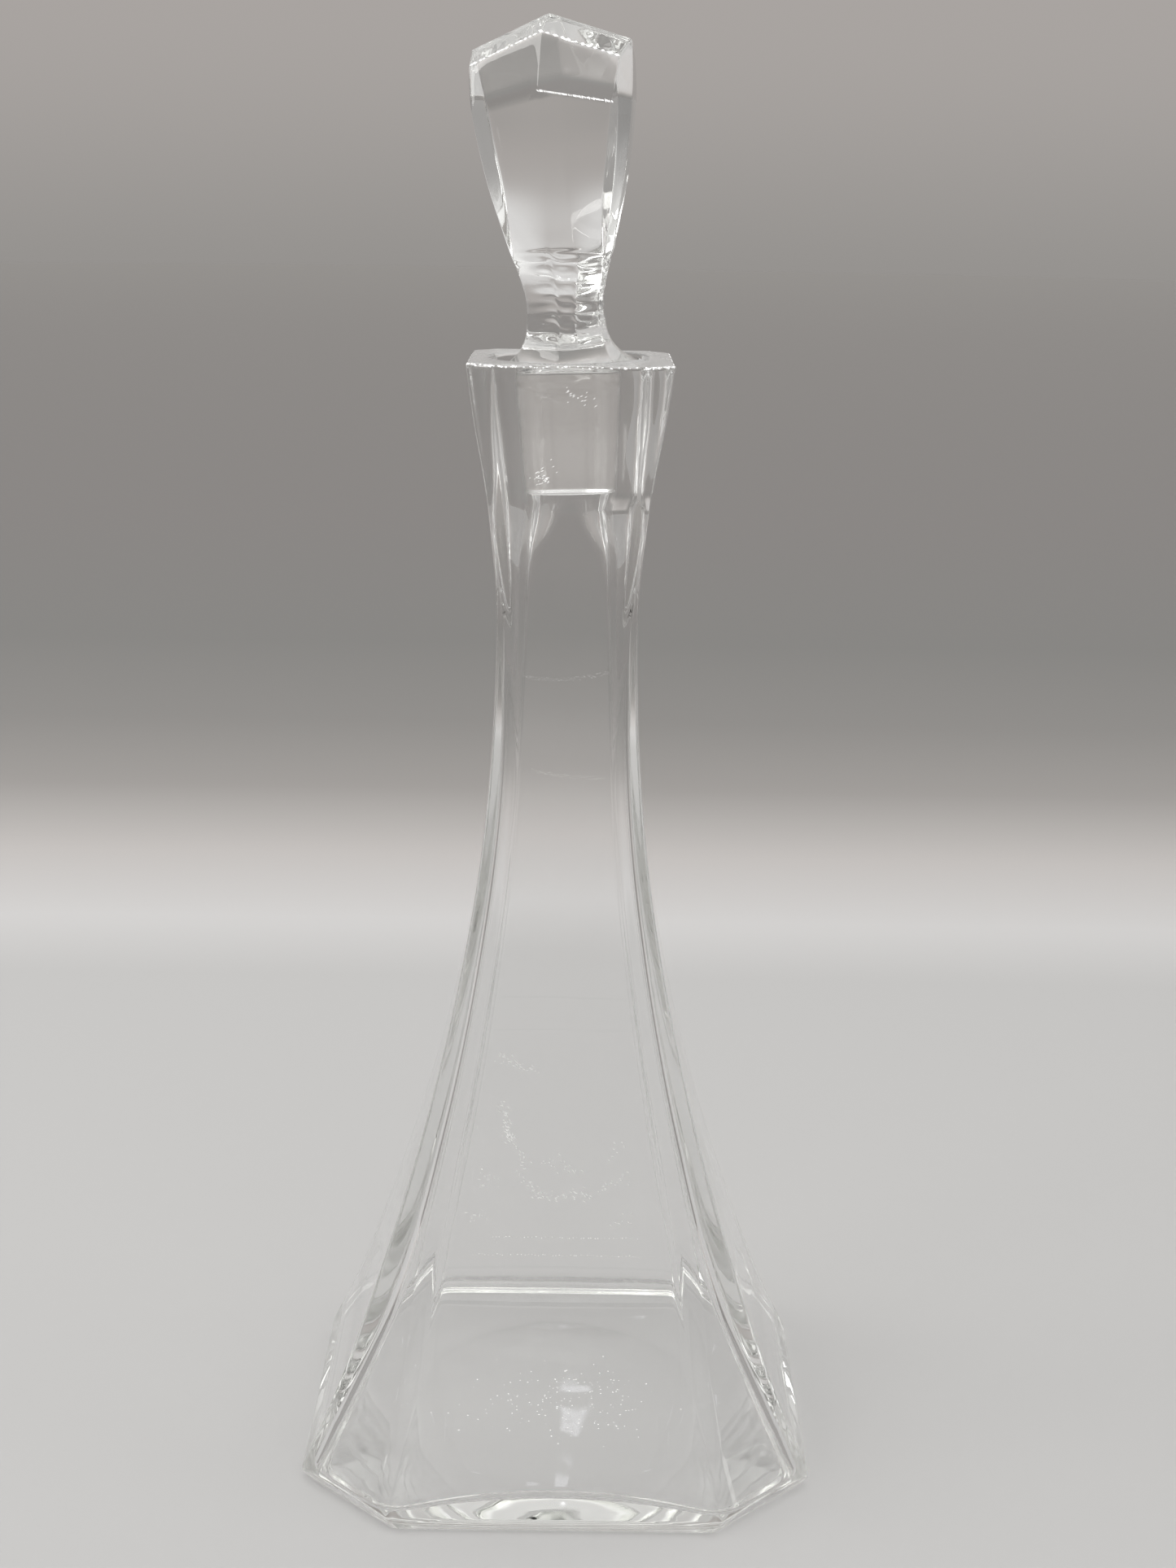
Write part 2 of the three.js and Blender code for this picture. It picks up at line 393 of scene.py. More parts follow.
def smooth_through(rows: Sequence[Sequence[float]], column: int = 1) -> Callable[[float], float]:
    """A smooth curve through a table, with the mean of its neighbours' slopes at each row.

    Args:
        rows: Rows that start with their place, in rising order.
        column: The column that the curve goes through.

    Returns:
        A function of the place.
    """
    places = [row[0] for row in rows]
    values = [row[column] for row in rows]
    steps = np.diff(values) / np.diff(places)
    slopes = [steps[0], *((steps[1:] + steps[:-1]) / 2), steps[-1]]

    def curve(x: float) -> float:
        """The curve's value at x, held at both ends."""
        x = min(max(x, places[0]), places[-1])
        k = min(bisect_right(places, x), len(places) - 1) - 1
        span = places[k + 1] - places[k]
        t = (x - places[k]) / span
        low = (1 + 2 * t) * (1 - t) ** 2 * values[k] + t * (1 - t) ** 2 * span * slopes[k]
        high = t * t * (3 - 2 * t) * values[k + 1] - t * t * (1 - t) * span * slopes[k + 1]
        return float(low + high)

    return curve


def rounded_outline(
    corners: Sequence[Pair], ease: float, arc: int, between: Sequence[int]
) -> np.ndarray:
    """A polygon with eased corners, always with the same number of points.

    Args:
        corners: Corners, counter-clockwise.
        ease: How far from a corner its curve starts.
        arc: Points on each corner's curve.
        between: Points on each side between two curves.

    Returns:
        Points as rows of x and y.
    """
    points = []
    corners = [np.array(corner, float) for corner in corners]
    count = len(corners)
    for k, corner in enumerate(corners):
        before, after, beyond = corners[k - 1], corners[(k + 1) % count], corners[(k + 2) % count]
        side = np.linalg.norm(after - corner)
        back = min(ease, 0.4 * np.linalg.norm(before - corner), 0.4 * side)
        start = corner + (before - corner) * back / np.linalg.norm(before - corner)
        reach = min(ease, 0.4 * side, 0.4 * np.linalg.norm(beyond - after))
        near = min(ease, 0.4 * np.linalg.norm(before - corner), 0.4 * side)
        end = corner + (after - corner) * near / side
        for t in np.linspace(0, 1, arc):
            points.append((1 - t) ** 2 * start + 2 * t * (1 - t) * corner + t * t * end)
        stop = after + (corner - after) * reach / side
        for t in np.linspace(0, 1, between[k % len(between)] + 2)[1:-1]:
            points.append(end + (stop - end) * t)
    return np.array(points)


def quarter_turn(count: int) -> list[Pair]:
    """How far a quarter circle has dropped and reached out, in even turns.

    Args:
        count: Number of places on it, with both ends.

    Returns:
        Pairs that go from (0, 0) to (1, 1).
    """
    turns = np.linspace(0, math.pi / 2, count)
    return [(1 - math.cos(turn), math.sin(turn)) for turn in turns]


def circle(radius: float, z: float, count: int, start: float) -> Ring:
    """A level round ring.

    Args:
        radius: Its radius.
        z: Its height.
        count: Number of points.
        start: Angle of the first point.

    Returns:
        Points as rows.
    """
    turns = start + 2 * np.pi * np.arange(count) / count
    return np.stack([radius * np.cos(turns), radius * np.sin(turns), np.full(count, z)], axis=1)


def swept_octagon(face: float, flat: float, radius: float, count: int, lead: float) -> np.ndarray:
    """An octagon with a circle swept round its corners.

    Args:
        face: Distance of its four main sides from the middle.
        flat: Half the length of those sides.
        radius: Radius of the circle.
        count: Number of points, shared out half by length and half by turning.
        lead: Points before the middle of the right-hand side.

    Returns:
        Points as rows of x and y.
    """
    corners = [
        (face, flat), (flat, face), (-flat, face), (-face, flat),
        (-face, -flat), (-flat, -face), (flat, -face), (face, -flat),
    ]
    eighth = math.pi / 4
    turns = np.concatenate([eighth * (k + np.linspace(0, 1, 9)) for k in range(8)])
    path = np.repeat(corners, 9, axis=0) + radius * np.column_stack([np.cos(turns), np.sin(turns)])
    middle = [[face + radius, 0.0]]
    path = np.vstack([middle, path, middle])
    turned = np.concatenate([[0.0], turns, [2 * math.pi]]) / (2 * math.pi)
    walked = np.append(0.0, np.cumsum(np.linalg.norm(np.diff(path, axis=0), axis=1)))
    places = (turned + walked / walked[-1]) / 2
    wanted = ((np.arange(count) - lead) / count) % 1.0
    return np.column_stack([np.interp(wanted, places, path[:, axis]) for axis in (0, 1)])


def level(points: np.ndarray, z: float) -> Ring:
    """Lifts rows of x and y to a height."""
    return np.column_stack([points, np.full(len(points), z)])


def lofted(name: str, rings: Sequence[Ring], first: Ring, last: Ring) -> bpy.types.Object:
    """Joins rings into one closed mesh with a point at each end.

    Args:
        name: The object's name.
        rings: Rings with equal numbers of points.
        first: The point that closes the first ring.
        last: The point that closes the last ring.

    Returns:
        The object, smooth shaded, with face-weighted normals.
    """
    count = len(rings[0])
    points = np.vstack([*rings, first, last])
    low, high = len(points) - 2, len(points) - 1
    top = (len(rings) - 1) * count
    faces: list[tuple[int, ...]] = []
    for k in range(count):
        after = (k + 1) % count
        faces.append((low, after, k))
        faces.append((high, top + k, top + after))
        for ring in range(len(rings) - 1):
            a, b = ring * count, (ring + 1) * count
            faces.append((a + k, a + after, b + after, b + k))
    mesh = bpy.data.meshes.new(name)
    mesh.from_pydata(points.tolist(), [], faces)
    mesh.polygons.foreach_set("use_smooth", [True] * len(faces))
    mesh.update()
    made = bpy.data.objects.new(name, mesh)
    bpy.context.scene.collection.objects.link(made)
    weighted = made.modifiers.new("face_weighted_normals", "WEIGHTED_NORMAL")
    weighted.mode = "FACE_AREA"
    weighted.weight = 50
    return made


def dress(
    piece: bpy.types.Object, material: bpy.types.Material, body: Body, node: str = ""
) -> bpy.types.Object:
    """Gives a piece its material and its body.

    Args:
        piece: The piece.
        material: Its material.
        body: The body that it moves with.
        node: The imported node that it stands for, if any.

    Returns:
        The piece.
    """
    piece.data.materials.clear()
    piece.data.materials.append(material)
    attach(piece, body.value)
    if node:
        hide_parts(node)
    log.info("%s: %d faces, on %s", piece.name, len(piece.data.polygons), body.value)
    return piece


# The ground seat, which bottle and stopper share


@dataclass(frozen=True)
class Seat:
    """The leaning, tapered fit between the mouth and the plug."""

    rim_height: float = 239 * MM
    plug_top_width: float = 32.2 * MM
    plug_bottom_width: float = 28 * MM
    plug_length: float = 25 * MM
    shoulder_depth: float = 1.4 * MM
    clearance: float = 0.3 * MM
    runout: float = 1.5 * MM
    pivot_depth: float = 17 * MM
    lean: float = math.radians(2)

    @property
    def taper(self) -> float:
        """Radius lost for each metre of depth."""
        return (self.plug_top_width - self.plug_bottom_width) / 2 / self.plug_length

    @property
    def depth(self) -> float:
        """Depth of the seat's lower end below the rim."""
        return self.shoulder_depth + self.plug_length + self.runout

    def plug_half(self, depth: float) -> float:
        """Radius of the plug at a depth below the rim."""
        return self.plug_top_width / 2 - (depth - self.shoulder_depth) * self.taper

    def seat_half(self, depth: float) -> float:
        """Radius of the seat at a depth below the rim."""
        return self.plug_half(depth) + self.clearance * math.hypot(1, self.taper)

    def place(self, ring: Ring) -> Ring:
        """Moves a ring drawn about the middle of the rim onto the leaning axis.

        Args:
            ring: Points whose heights are counted from the rim.

        Returns:
            The points in the row's frame.
        """
        pivot = Vector((0, 0, self.rim_height - self.pivot_depth))
        move = (
            Matrix.Translation(pivot)
            @ Matrix.Rotation(-self.lean, 4, "Y")
            @ Matrix.Translation(Vector((0, 0, self.pivot_depth)))
        )
        turn = np.array(move.to_3x3())
        return ring @ turn.T + np.array(move.translation)


# The bottle


@dataclass
class Bottle:
    """The hollow glass body, from its eight-sided foot to its rim."""

    seat: Seat
    foot_width: float = 110 * MM
    band_height: float = 3 * MM
    foot_undercut: float = 0.7 * MM
    waist_width: float = 29.3 * MM
    waist_height: float = 181 * MM
    rim_width: float = 42.2 * MM
    rim_rounding: float = 0.9 * MM
    waist_wall: float = 2.9 * MM
    floor_thickness: float = 4.6 * MM
    floor_corner_dip: float = 3.2 * MM
    rear_dip_share: float = 0.25
    floor_fillet: float = 3.6 * MM
    tight_fillet_share: float = 0.4
    groove_depth: float = 0.35 * MM
    groove_width: float = 1.6 * MM
    dish_width: float = 78 * MM
    dish_depth: float = 0.9 * MM
    edge_ease: float = 0.9 * MM
    arc_points: int = 5
    face_points: int = 22
    chamfer_points: int = 8
    wall_rows: int = 170
    cavity_rows: int = 170
    fillet_rows: int = 14
    groove_rows: int = 9
    floor_rows: int = 24
    seat_rows: int = 15
    edge_rows: int = 6
    mouth_lip: float = 0.5 * MM
    crease: float = 0.25 * MM
    band_share: float = 0.6
    smallest_ring: float = 0.05
    dish_rings: tuple[float, ...] = (0.2, 0.4, 0.6, 0.8, 0.92, 1.0)
    # Band to waist: share of the height, share of the spread in width
    flare_shares: tuple[Pair, ...] = (
        (0, 1), (0.057, 0.883), (0.138, 0.741), (0.23, 0.603), (0.354, 0.432),
        (0.478, 0.289), (0.601, 0.174), (0.725, 0.084), (0.848, 0.03), (1, 0),
    )
    # Waist to rim: share of the height, share of the spread in width
    mouth_shares: tuple[Pair, ...] = (
        (0, 0), (0.12, 0.012), (0.328, 0.13), (0.578, 0.4), (0.786, 0.73), (1, 1),
    )
    # Share of the rim's height, leg of the cut corner as a share of the half width there
    corner_shares: tuple[Pair, ...] = (
        (0, 0.373), (0.13, 0.328), (0.27, 0.275), (0.41, 0.28), (0.55, 0.304),
        (0.66, 0.31), (0.76, 0.19), (0.85, 0.075), (0.92, 0.15), (1, 0.225),
    )
    # Share of the rim's height, rounding of the cavity's corners as a share of its half width
    roundness_shares: tuple[Pair, ...] = (
        (0, 0.2), (0.1, 0.22), (0.3, 0.25), (0.55, 0.27), (0.72, 0.3), (0.8, 0.42), (0.84, 0.62),
        (0.873, 0.95), (1, 1),
    )
    # Share of the rim's height, wall at mid face as a share of the waist's wall
    wall_shares: tuple[Pair, ...] = (
        (0, 0.86), (0.05, 1.1), (0.15, 2), (0.3, 1.8), (0.5, 1.35), (0.757, 1), (1, 1),
    )
    corner_wall_share: float = 0.7
    seat_step: float = 1.5 * MM
    finish: ClearGlass = ClearGlass("bottle_glass", ground_above=238.6 * MM, drawn_above=178 * MM)

    def __post_init__(self) -> None:
        """Prepares the smooth curves that the tables describe."""
        stations = [
            (self._between(self.band_height, self.waist_height, up),
             self._between(self.waist_width, self.foot_width, out) / 2)
            for up, out in self.flare_shares
        ] + [
            (self._between(self.waist_height, self.rim_height, up),
             self._between(self.waist_width, self.rim_width, out) / 2)
            for up, out in self.mouth_shares[1:]
        ]
        self.outer_half = smooth_through(stations)
        self.corner_share = smooth_through(self.corner_shares)
        self.roundness = smooth_through(self.roundness_shares)
        self.wall_share = smooth_through(self.wall_shares)

    @staticmethod
    def _between(low: float, high: float, share: float) -> float:
        """The value a share of the way from low to high."""
        return low + (high - low) * share

    @property
    def rim_height(self) -> float:
        """Height of the rim."""
        return self.seat.rim_height

    @property
    def columns(self) -> int:
        """Points on every ring."""
        return 8 * self.arc_points + 4 * (self.face_points + self.chamfer_points)

    @property
    def lead(self) -> float:
        """Points on a ring before the middle of the right-hand face."""
        return self.arc_points + (self.face_points - 1) / 2

    @property
    def start(self) -> float:
        """Angle of a round ring's first point, in line with the facets' columns."""
        return -2 * math.pi * self.lead / self.columns

    def facet_ring(self, half: float, leg: float, z: float) -> Ring:
        """A square ring with cut and eased corners.

        Args:
            half: Half its width across the flats.
            leg: Leg of the cut corner.
            z: Its height.

        Returns:
            Points as rows.
        """
        flat = half - leg
        corners = [
            (half, -flat), (half, flat), (flat, half), (-flat, half),
            (-half, flat), (-half, -flat), (-flat, -half), (flat, -half),
        ]
        between = (self.face_points, self.chamfer_points)
        return level(rounded_outline(corners, self.edge_ease, self.arc_points, between), z)

    def wall_at(self, z: float) -> float:
        """Thickness of the wall at mid face."""
        return self.wall_share(z / self.rim_height) * self.waist_wall

    def inside_half(self, z: float) -> float:
        """Half the cavity's width at mid face."""
        return self.outer_half(z) - self.wall_at(z)

    def dip_at(self, x: float, y: float) -> float:
        """How far the floor dips, from 0 in the middle to 1 in the front corners."""
        inside = self.foot_width / 2 - self.wall_at(0)
        face_half = self.foot_width / 2 * (1 - self.corner_share(0))
        corner = x * y / (inside * face_half)
        uneven = 1 + (self.rear_dip_share - 1) * min(max(0.5 + y / inside, 0), 1)
        return min(corner * corner, 1) * uneven

    def floor_at(self, x: float, y: float) -> float:
        """Height of the cavity's floor."""
        return self.floor_thickness - self.floor_corner_dip * self.dip_at(x, y)

    def cavity_ring(self, z: float, inset: float = 0.0) -> Ring:
        """A ring on the cavity's wall, which follows the facets with rounded corners.

        Args:
            z: Height that its outline is taken at.
            inset: How far it is drawn in from the wall.

        Returns:
            Points as rows.
        """
        share = z / self.rim_height
        half, wall = self.outer_half(z), self.wall_at(z)
        leg = half * self.corner_share(share)
        radius = (half - wall) * min(self.roundness(share), 1)
        face = half - wall - radius
        across = (2 * half - leg) / math.sqrt(2) - wall * self.corner_wall_share - radius
        flat = min(max(math.sqrt(2) * across - face, 0.0), face)
        reach = max(radius - inset, 0.3 * MM)
        return level(swept_octagon(face, flat, reach, self.columns, self.lead), z)

    def floor_rings(self) -> list[Ring]:
        """Rings of the fillet, tighter where the floor dips, of the groove and of the floor."""
        foot_level = self.floor_thickness + self.floor_fillet
        wall_edge = self.cavity_ring(foot_level)
        way_in = self.cavity_ring(foot_level, self.floor_fillet) - wall_edge
        size = np.array([1 + (self.tight_fillet_share - 1) * self.dip_at(x, y) for x, y, _ in wall_edge])
        rings = []
        for drop, reach in reversed(quarter_turn(self.fillet_rows)):
            ring = wall_edge + way_in * (size * (1 - reach))[:, None]
            ring[:, 2] = [self.floor_at(x, y) for x, y, _ in ring]
            ring[:, 2] += self.floor_fillet * size * drop
            out = [self.inside_half(z) / self.inside_half(foot_level) for z in ring[:, 2]]
            ring[:, :2] *= np.array(out)[:, None]
            rings.append(ring)
        edge = rings[-1]
        groove = self.groove_width / np.abs(edge[:, :2]).max()
        in_groove = 1 - groove * np.linspace(0, 1, self.groove_rows + 1)[1:]
        beyond = np.linspace(1 - groove, self.smallest_ring, self.floor_rows)[1:]
        for share in (*in_groove, *beyond):
            ring = edge * share
            ring[:, 2] = [self.floor_at(x, y) for x, y, _ in ring]
            across = min((1 - share) / groove, 1)
            ring[:, 2] -= self.groove_depth * math.sin(math.pi * across) ** 2
            rings.append(ring)
        return rings

    def outside(self) -> list[Ring]:
        """Rings of the underside, the foot's band, the facets and the rim's rounding."""
        rings = []
        dish_half = self.dish_width / 2
        for share in self.dish_rings:
            z = self.dish_depth * (1 - share * share)
            rings.append(circle(dish_half * share, z, self.columns, self.start))
        foot = self.foot_width / 2
        leg = foot * self.corner_share(0)
        lip = self.foot_undercut
        for drop, reach in quarter_turn(self.edge_rows):
            rings.append(self.facet_ring(foot - lip - lip * (1 - reach), leg, lip * drop))
        rings.append(self.facet_ring(foot, leg, self.band_height * self.band_share))
        last = self.rim_height - self.rim_rounding
        heights = [self.band_height - self.crease]
        heights += list(np.linspace(self.band_height + self.crease, last, self.wall_rows))
        for z in heights:
            half = self.outer_half(max(z, self.band_height))
            rings.append(self.facet_ring(half, half * self.corner_share(z / self.rim_height), z))
        for drop, reach in quarter_turn(self.edge_rows)[1:]:
            half = self.rim_width / 2 - self.rim_rounding * drop
            z = last + self.rim_rounding * reach
            rings.append(self.facet_ring(half, half * self.corner_share(1), z))
        return rings

    def inside(self) -> list[Ring]:
        """Rings of the seat, the channel, the cavity and its floor, from the rim down."""
        rings = []
        seat, lip = self.seat, self.mouth_lip
        mouth = seat.seat_half(lip)
        for drop, reach in quarter_turn(self.edge_rows - 1):
            flat = circle(mouth + lip * (1 - reach), -lip * drop, self.columns, self.start)
            rings.append(seat.place(flat))
        rings[0][:, 2] = self.rim_height
        for depth in np.linspace(lip, seat.depth, self.seat_rows + 1)[1:]:
            rings.append(seat.place(circle(seat.seat_half(depth), -depth, self.columns, self.start)))
        highest = self.rim_height - seat.depth - self.seat_step
        lowest = self.floor_thickness + 2 * self.floor_fillet
        for z in np.linspace(highest, lowest, self.cavity_rows):
            rings.append(self.cavity_ring(z))
        rings += self.floor_rings()
        return rings

    def build(self) -> bpy.types.Object:
        """Builds the bottle's glass.

        Returns:
            The piece, dressed.
        """
        piece = lofted(
            "bottle_glass",
            self.outside() + self.inside(),
            np.array([[0, 0, self.dish_depth]]),
            np.array([[0, 0, self.floor_thickness]]),
        )
        return dress(piece, self.finish.material(), Body.BOTTLE, "bottle")


# The stopper


@dataclass
class Stopper:
    """The solid glass stopper: tapered plug, flare, neck and flat faceted head."""

    seat: Seat
    head_height: float = 67.8 * MM
    head_width: float = 30.4 * MM
    head_thickness: float = 20.6 * MM
    side_face_width: float = 18.6 * MM
    neck_width: float = 15.4 * MM
    neck_thickness: float = 10.2 * MM
    neck_side_face_width: float = 4 * MM
    neck_height: float = 9 * MM
    flare_width: float = 26.8 * MM
    flare_thickness: float = 17.6 * MM
    flare_side_face_width: float = 15.4 * MM
    head_lean: float = math.radians(2)
    head_turn: float = math.radians(17)
    roof_side_share: float = 0.36
    roof_front_share: float = 0.7
    roof_steep_share: float = 2.4
    roof_break_depth: float = 5.4 * MM
    side_crown_share: float = 0.19
    plug_edge: float = 0.5 * MM
    edge_ease: float = 0.35 * MM
    ledge_height: float = 22.2 * MM
    ledge_drop: float = 0.45 * MM
    ledge_depth: float = 0.3 * MM
    ripple_depth: float = 0.12 * MM
    ripple_pitch: float = 3.4 * MM
    second_ripple_share: float = 0.6
    second_ripple_rate: float = 1.73
    corner_ease: float = 0.5 * MM
    soft_corner_ease: float = 1.3 * MM
    soft_corner_from: float = -1.5 * MM
    ridge_ease: float = 0.25 * MM
    arc_points: int = 5
    face_points: int = 15
    side_points: int = 8
    plug_rows: int = 20
    flare_rows: int = 40
    head_rows: int = 150
    table_rows: int = 240
    # Shoulder to neck: share of the height, share of the spread
    flare_curve_shares: tuple[Pair, ...] = ((0, 1), (0.12, 0.62), (0.3, 0.31), (0.55, 0.1), (1, 0))
    # Neck to peak: share of the height, shares of the spread in width, side face and thickness
    head_shares: tuple[tuple[float, ...], ...] = (
        (0, 0, 0, 0), (0.06, 0.02, 0, 0.03), (0.14, 0.17, 0.03, 0.28), (0.22, 0.3, 0.32, 0.5),
        (0.29, 0.38, 0.57, 0.62), (0.42, 0.56, 0.9, 0.84), (0.54, 0.73, 1, 0.96),
        (0.7, 0.92, 1, 1), (0.83, 1, 0.95, 1), (1, 1, 0.9, 0.97),
    )
    finish: ClearGlass = ClearGlass("stopper_glass", wave_depth=0.02 * MM, smear_roughness=0.04)

    def __post_init__(self) -> None:
        """Prepares the smooth curves that the tables describe."""
        self.flare_spread = smooth_through(self.flare_curve_shares)
        self.head_spread = [smooth_through(self.head_shares, column) for column in (1, 2, 3)]

    @property
    def between(self) -> tuple[int, ...]:
        """Points on each side of the section, in turn."""
        half_side, face = self.side_points, self.face_points
        return (half_side, half_side, face, face, half_side, half_side, face, face)

    @property
    def columns(self) -> int:
        """Points on every ring."""
        return 8 * self.arc_points + sum(self.between)

    @property
    def start(self) -> float:
        """Angle of a round ring's first point, in line with the section's columns."""
        before = self.arc_points / 2 + self.side_points + self.arc_points
        return -2 * math.pi * before / self.columns

    def sizes_at(self, z: float) -> tuple[float, float, float]:
        """Half width, half of the side face and half thickness at a height over the rim."""
        neck = (self.neck_width / 2, self.neck_side_face_width / 2, self.neck_thickness / 2)
        flare = (self.flare_width / 2, self.flare_side_face_width / 2, self.flare_thickness / 2)
        head = (self.head_width / 2, self.side_face_width / 2, self.head_thickness / 2)
        base = -self.seat.shoulder_depth
        if z < self.neck_height:
            spread = self.flare_spread((z - base) / (self.neck_height - base))
            return tuple(n + (f - n) * spread for n, f in zip(neck, flare))
        share = (z - self.neck_height) / (self.head_height - self.neck_height)
        return tuple(n + (h - n) * at(share) for n, h, at in zip(neck, head, self.head_spread))

    def cut_depth(self, z: float, turns: np.ndarray) -> np.ndarray:
        """How far the neck's hand-cut ripples lie inside the section, under a narrow ledge.

        Args:
            z: Height over the rim.
            turns: Angles of the section's points.

        Returns:
            One depth for each point.
        """
        step = min(max((self.ledge_height - z) / self.ledge_drop, 0.0), 1.0)
        fade = step * min(max(z / self.ledge_height * 3, 0.0), 1.0)
        # The left and the right of each face are out of step, as cuts from two sides are
        side = np.tanh(8 * np.cos(turns))
        phase = 2 * math.pi * z / self.ripple_pitch + 0.9 * side
        second = self.second_ripple_share * np.sin(self.second_ripple_rate * phase + 2 * side)
        ripples = np.sin(phase + 3 * np.sin(turns)) + second
        ledge = step * min(max(z / self.ledge_height * 2 - 1, 0.0), 1.0)
        return (fade * self.ripple_depth * ripples - ledge * self.ledge_depth) * np.sin(turns) ** 2

    def section(self, z: float) -> np.ndarray:
        """Outline of the six-sided section, as rows of x and y."""
        half, side, ridge = self.sizes_at(z)
        crown = half + side * self.side_crown_share
        corners = [
            (half, -side), (crown, 0), (half, side), (0, ridge),
            (-half, side), (-crown, 0), (-half, -side), (0, -ridge),
        ]
        outline = rounded_outline(corners, self.edge_ease, self.arc_points, self.between)
        depths = self.cut_depth(z, np.arctan2(outline[:, 1], outline[:, 0]))
        return outline * (1 - depths / np.linalg.norm(outline, axis=1))[:, None]

    def outlines_at(self, heights: np.ndarray) -> np.ndarray:
        """Outline points at heights that differ from column to column.

        Args:
            heights: One row of heights for each ring, one column for each point.

        Returns:
            The x and y of each point, as rings of rows.
        """
        steps = np.linspace(heights.min(), heights.max(), self.table_rows)
        table = np.array([self.section(z) for z in steps])
        return np.stack(
            [
                np.column_stack([np.interp(heights[:, k], steps, table[:, k, axis]) for axis in (0, 1)])
                for k in range(self.columns)
            ],
            axis=1,
        )

    def roof_at(self, points: np.ndarray) -> np.ndarray:
        """Height of the roof's planes over rows of x and y, with eased ridges."""
        ease = self.ridge_ease
        x = np.hypot(points[:, 0], ease) - ease
        y = np.hypot(points[:, 1], ease) - ease
        top = self.head_height - x * self.roof_side_share - y * self.roof_front_share
        steeper = self.roof_steep_share - self.roof_front_share
        over = (y - self.roof_break_depth) * steeper / 2
        return top - over - np.hypot(over, ease / 2)

    def head(self) -> list[Ring]:
        """Rings from the flare's foot to the roof's edge and on to the peak."""
        rings = []
        base = -self.seat.shoulder_depth
        for z in np.linspace(base + 0.1 * MM, self.neck_height, self.flare_rows)[:-1]:
            rings.append(level(self.section(z), z))
        edge = np.full(self.columns, self.head_height)
        for _ in range(12):
            outline = self.outlines_at(edge[None])[0]
            edge = self.roof_at(outline)
        front_left = (outline[:, 0] < self.soft_corner_from) & (outline[:, 1] < 0)
        lower = np.where(front_left, self.soft_corner_ease, self.corner_ease)
        shares = np.linspace(0, 1, self.head_rows)[:, None]
        heights = self.neck_height + (edge - lower - self.neck_height) * shares
        for points, row in zip(self.outlines_at(heights), heights):
            rings.append(np.column_stack([points, row]))
        wall = rings[-1]
        corner = np.column_stack([outline, edge])
        inner = outline * (1 - lower / np.linalg.norm(outline, axis=1))[:, None]
        roof = np.column_stack([inner, self.roof_at(inner)])
        for t in np.linspace(0, 1, 5)[1:]:
            rings.append((1 - t) ** 2 * wall + 2 * t * (1 - t) * corner + t * t * roof)
        depth = np.maximum(np.abs(inner[:, 1]), self.roof_break_depth)
        at_break = np.minimum(self.roof_break_depth / depth, 0.9)
        outer = [1 - (1 - at_break) * t for t in (0.08, 0.25, 0.5, 0.72, 0.86, 0.93, 0.97)]
        upper = [at_break * t for t in (1, 0.97, 0.94, 0.88, 0.75, 0.55, 0.35, 0.2, 0.1, 0.04)]
        for share in outer + upper:
            flat = inner * share[:, None]
            rings.append(np.column_stack([flat, self.roof_at(flat)]))
        return rings

    def plug(self) -> list[Ring]:
        """Rings of the plug from the middle of its flat bottom to its shoulder."""
        seat, edge = self.seat, self.plug_edge
        bottom = seat.shoulder_depth + seat.plug_length
        rings = []
        for share in (0.25, 0.5, 0.75, 0.93):
            radius = (seat.plug_half(bottom) - edge) * share
            rings.append(circle(radius, -bottom, self.columns, self.start))
        for drop, reach in quarter_turn(self.arc_points):
            depth = bottom - edge * drop
            radius = seat.plug_half(depth) - edge * (1 - reach)
            rings.append(circle(radius, -depth, self.columns, self.start))
        top = seat.shoulder_depth
        for depth in np.linspace(bottom - edge, top + edge, self.plug_rows)[1:-1]:
            rings.append(circle(seat.plug_half(depth), -depth, self.columns, self.start))
        for drop, reach in quarter_turn(self.arc_points):
            depth = top + edge * (1 - reach)
            radius = seat.plug_half(depth) - edge * drop
            rings.append(circle(radius, -depth, self.columns, self.start))
        return rings

    def place_head(self, points: Ring) -> Ring:
        """Turns and leans points of the head, and moves them onto the seat."""
        turn = Matrix.Rotation(-self.head_lean, 3, "Y") @ Matrix.Rotation(-self.head_turn, 3, "Z")
        return self.seat.place(points @ np.array(turn).T)

    def roof_break(self, start: float, end: float, count: int) -> Ring:
        """Points along the break of the front roof, between two shares of the half width."""
        x = np.linspace(start, end, count) * self.head_width / 2
        flat = np.column_stack([x, np.full(count, -self.roof_break_depth)])
        return self.place_head(np.column_stack([flat, self.roof_at(flat)]))

    def roof_edge(self, start: float, end: float, count: int) -> Ring:
        """Points along the lower edge of the front roof, between two shares of the half width."""
        half, side, ridge = self.head_width / 2, self.side_face_width / 2, self.head_thickness / 2
        share = np.linspace(start, end, count)
        flat = np.column_stack([share * half, np.abs(share) * (ridge - side) - ridge])
        return self.place_head(np.column_stack([flat, self.roof_at(flat)]))

    def build(self) -> bpy.types.Object:
        """Builds the stopper's glass.

        Returns:
            The piece, dressed.
        """
        spin = np.array(Matrix.Rotation(-self.head_turn, 3, "Z"))
        plug = [self.seat.place(ring @ spin.T) for ring in self.plug()]
        head = [self.place_head(ring) for ring in self.head()]
        bottom = self.seat.shoulder_depth + self.seat.plug_length
        low = self.seat.place(np.array([[0, 0, -bottom]]))
        high = self.place_head(np.array([[0, 0, self.head_height]]))
        piece = lofted("stopper_glass", plug + head, low, high)
        return dress(piece, self.finish.material(), Body.STOPPER, "stopper")


# What the liquid left behind


